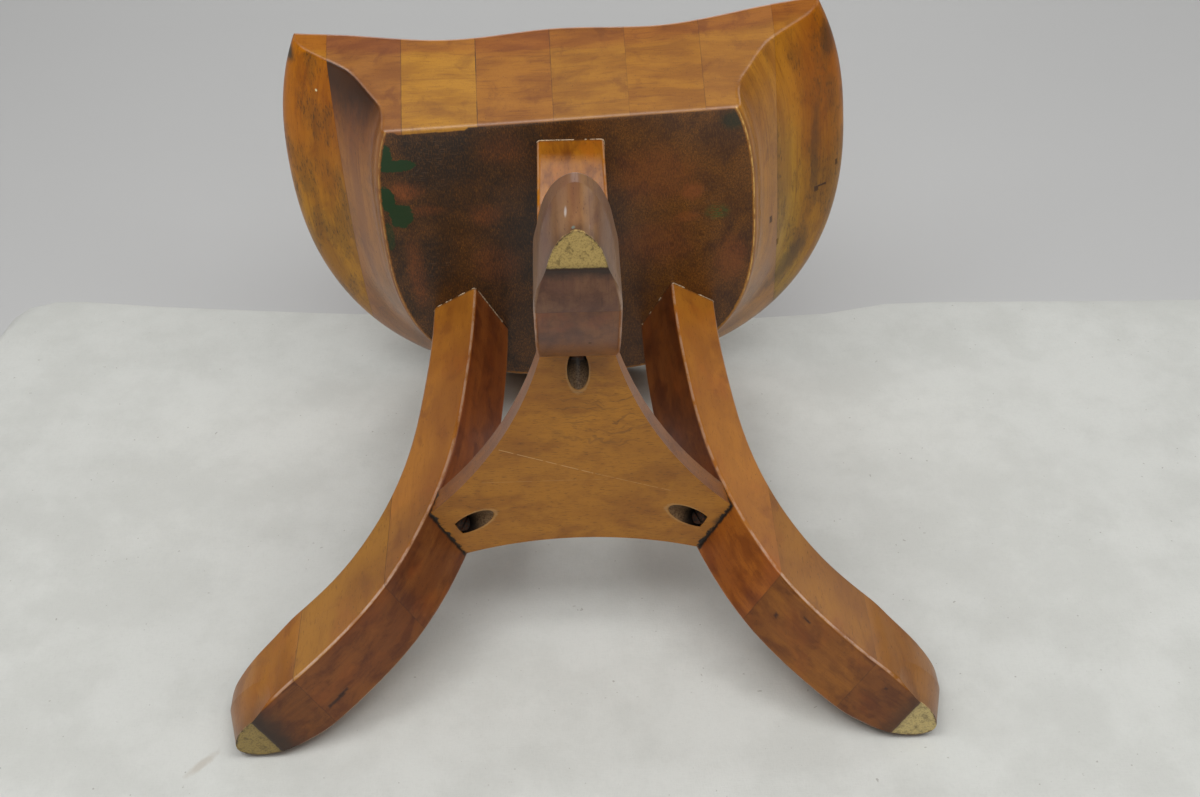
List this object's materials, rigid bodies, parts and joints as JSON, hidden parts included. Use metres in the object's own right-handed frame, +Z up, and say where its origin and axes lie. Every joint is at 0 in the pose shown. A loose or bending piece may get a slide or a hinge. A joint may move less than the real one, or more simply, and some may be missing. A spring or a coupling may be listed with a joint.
{
  "type": "tripod saddle stool",
  "caption": "Tripod saddle stool: a hollowed seat of glued upright staves on splayed sabre legs, tied together by a flat stretcher plate with concave sides.",
  "frame": {"origin": "middle of the stool's bounding box in plan, on the floor under the feet", "axes": "+Z up; -Y to the front, where the seat's straight leaning side and the single front leg are; +X to the right of someone who looks at the front"},
  "size_m": [0.4314, 0.3924, 0.4038],
  "materials": {
    "seat_wood": "worn semi-gloss lacquer, warm honey brown, with dark blotches under the seat",
    "leg_wood": "worn semi-gloss lacquer, orange brown, bare at the soles",
    "stretcher_wood": "worn semi-gloss lacquer, golden brown",
    "dowel_wood": "bare",
    "screw_steel": "dull and dark with age"
  },
  "bodies": {
    "root": {"dowel_front_a": "dowel_wood", "dowel_front_b": "dowel_wood", "dowel_left_a": "dowel_wood", "dowel_left_b": "dowel_wood", "dowel_right_a": "dowel_wood", "dowel_right_b": "dowel_wood", "leg_front_knee": "leg_wood", "leg_front_post": "leg_wood", "leg_front_toe": "leg_wood", "leg_left_knee": "leg_wood", "leg_left_post": "leg_wood", "leg_left_toe": "leg_wood", "leg_right_knee": "leg_wood", "leg_right_post": "leg_wood", "leg_right_toe": "leg_wood", "screw_front": "screw_steel", "screw_left": "screw_steel", "screw_right": "screw_steel", "seat_stave_1": "seat_wood", "seat_stave_2": "seat_wood", "seat_stave_3": "seat_wood", "seat_stave_4": "seat_wood", "seat_stave_5": "seat_wood", "seat_stave_6": "seat_wood", "seat_stave_7": "seat_wood", "seat_stave_8": "seat_wood", "stretcher": "stretcher_wood"}
  },
  "joints": []
}
